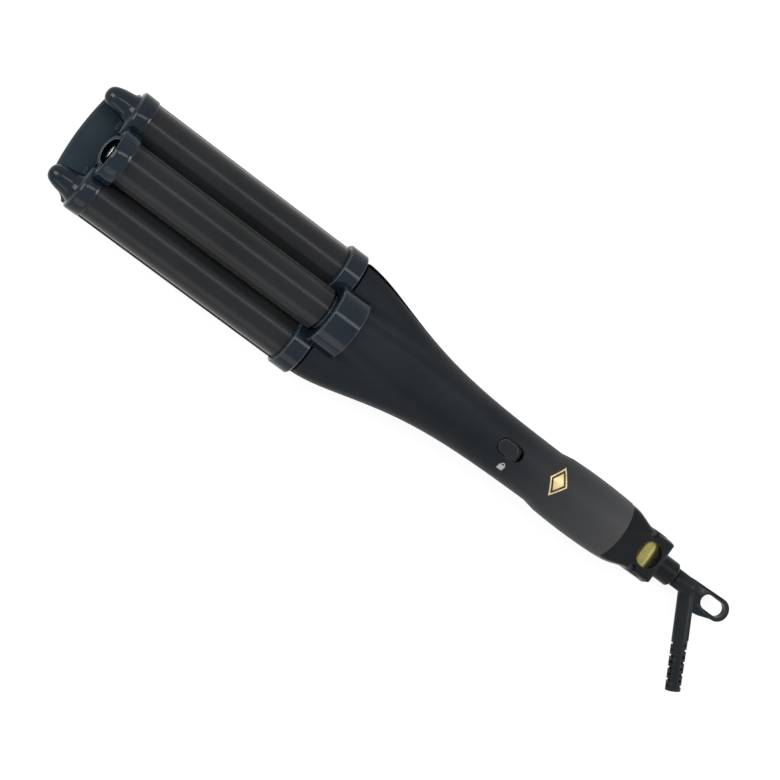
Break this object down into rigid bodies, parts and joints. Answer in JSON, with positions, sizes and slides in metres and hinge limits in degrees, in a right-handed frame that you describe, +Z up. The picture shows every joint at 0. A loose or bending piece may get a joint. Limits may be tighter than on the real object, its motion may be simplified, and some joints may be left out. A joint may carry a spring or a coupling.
{
  "type": "hair waver",
  "caption": "Three-barrel hair waver: a hinged upper arm lowers its heated barrel between two fixed ones; sliding lock, cord swivel with hang loop.",
  "frame": {"origin": "on the face that the tool rests on, straight below the jaw hinge, in the plane of symmetry of the arms", "axes": "+X from the barrel tips towards the cord, +Z up, out of the resting face, +Y across the tool; the jaw hinge axis is along +Y"},
  "size_m": [0.4137, 0.083, 0.0421],
  "materials": {
    "soft_touch_black": "soft-touch moulded nylon",
    "cover_black": "fine-textured moulding",
    "gloss_teal_black": "glossy heat-resistant moulding",
    "matte_teal": "satin heat-resistant moulding",
    "shield_black": "black-coated sheet",
    "barrel_ceramic": "dark ceramic coating on aluminium tube, satin",
    "white_ceramic": "unglazed technical ceramic",
    "bare_aluminium": "extruded",
    "board_green": "solder-masked laminate",
    "smoked_lens": "smoked, polished",
    "zinc_steel": "zinc plated",
    "wire_sleeve": "silicone sleeve",
    "gold_brass": "polished",
    "bush_white": "acetal",
    "block_black": "satin moulding",
    "hook_nylon": "glass-filled nylon",
    "button_black": "soft moulded keys",
    "relief_rubber": "soft PVC moulding, satin"
  },
  "bodies": {
    "lower_arm": {"lower_housing": "soft_touch_black", "lower_inner_cover": "cover_black", "heat_shield_tray": "shield_black", "toe_plate": "matte_teal", "left_barrel": "barrel_ceramic", "right_barrel": "barrel_ceramic", "left_front_cap": "gloss_teal_black", "right_front_cap": "gloss_teal_black", "left_rear_collar": "gloss_teal_black", "right_rear_collar": "gloss_teal_black", "left_heater": "white_ceramic", "right_heater": "white_ceramic", "left_heat_spreaders": "bare_aluminium", "right_heat_spreaders": "bare_aluminium", "control_board": "board_green", "thermal_fuse": "white_ceramic", "indicator_lens": "smoked_lens", "catch_plate": "zinc_steel", "lower_wire_loom": "wire_sleeve", "hinge_barrel": "gold_brass", "hinge_barrel_screws": "zinc_steel", "torsion_spring": "zinc_steel", "swivel_bush": "bush_white", "lower_cover_screws": "zinc_steel", "heat_shield_screws": "zinc_steel"},
    "upper_arm": {"upper_housing": "soft_touch_black", "upper_inner_cover": "cover_black", "center_barrel": "barrel_ceramic", "center_front_cap": "gloss_teal_black", "center_front_screw": "zinc_steel", "center_rear_collar": "gloss_teal_black", "center_heater": "white_ceramic", "center_heat_spreaders": "bare_aluminium", "upper_wire_loom": "wire_sleeve", "hinge_block": "block_black", "hinge_pin": "zinc_steel", "pin_grub_screws": "zinc_steel", "hinge_block_screws": "zinc_steel", "upper_cover_screws": "zinc_steel"},
    "lock_slider": {"lock_knob": "block_black", "lock_hook": "hook_nylon"},
    "power_switch": {"power_button": "button_black"},
    "temp_down_switch": {"temp_down_button": "button_black"},
    "temp_up_switch": {"temp_up_button": "button_black"},
    "cord_swivel": {"swivel_collar": "block_black", "swivel_ring": "zinc_steel", "strain_relief": "relief_rubber"}
  },
  "joints": [
    {"name": "jaw_hinge", "type": "hinge", "parent": "lower_arm", "child": "upper_arm", "pos_m": [0, 0, 0.0165], "axis": [0, 1, 0], "range_deg": [0, 16]},
    {"name": "lock_slide", "type": "slide", "parent": "upper_arm", "child": "lock_slider", "axis": [1, 0, 0], "range_m": [0, 0.0035]},
    {"name": "power_press", "type": "slide", "parent": "lower_arm", "child": "power_switch", "axis": [0, 0, -1], "range_m": [0, 0.0008], "stiffness_N_per_m": 400},
    {"name": "temp_down_press", "type": "slide", "parent": "lower_arm", "child": "temp_down_switch", "axis": [0, 0, -1], "range_m": [0, 0.0008], "stiffness_N_per_m": 400},
    {"name": "temp_up_press", "type": "slide", "parent": "lower_arm", "child": "temp_up_switch", "axis": [0, 0, -1], "range_m": [0, 0.0008], "stiffness_N_per_m": 400},
    {"name": "cord_turn", "type": "hinge", "parent": "lower_arm", "child": "cord_swivel", "pos_m": [0.02, 0, 0.008], "axis": [1, 0, 0], "continuous": true}
  ]
}
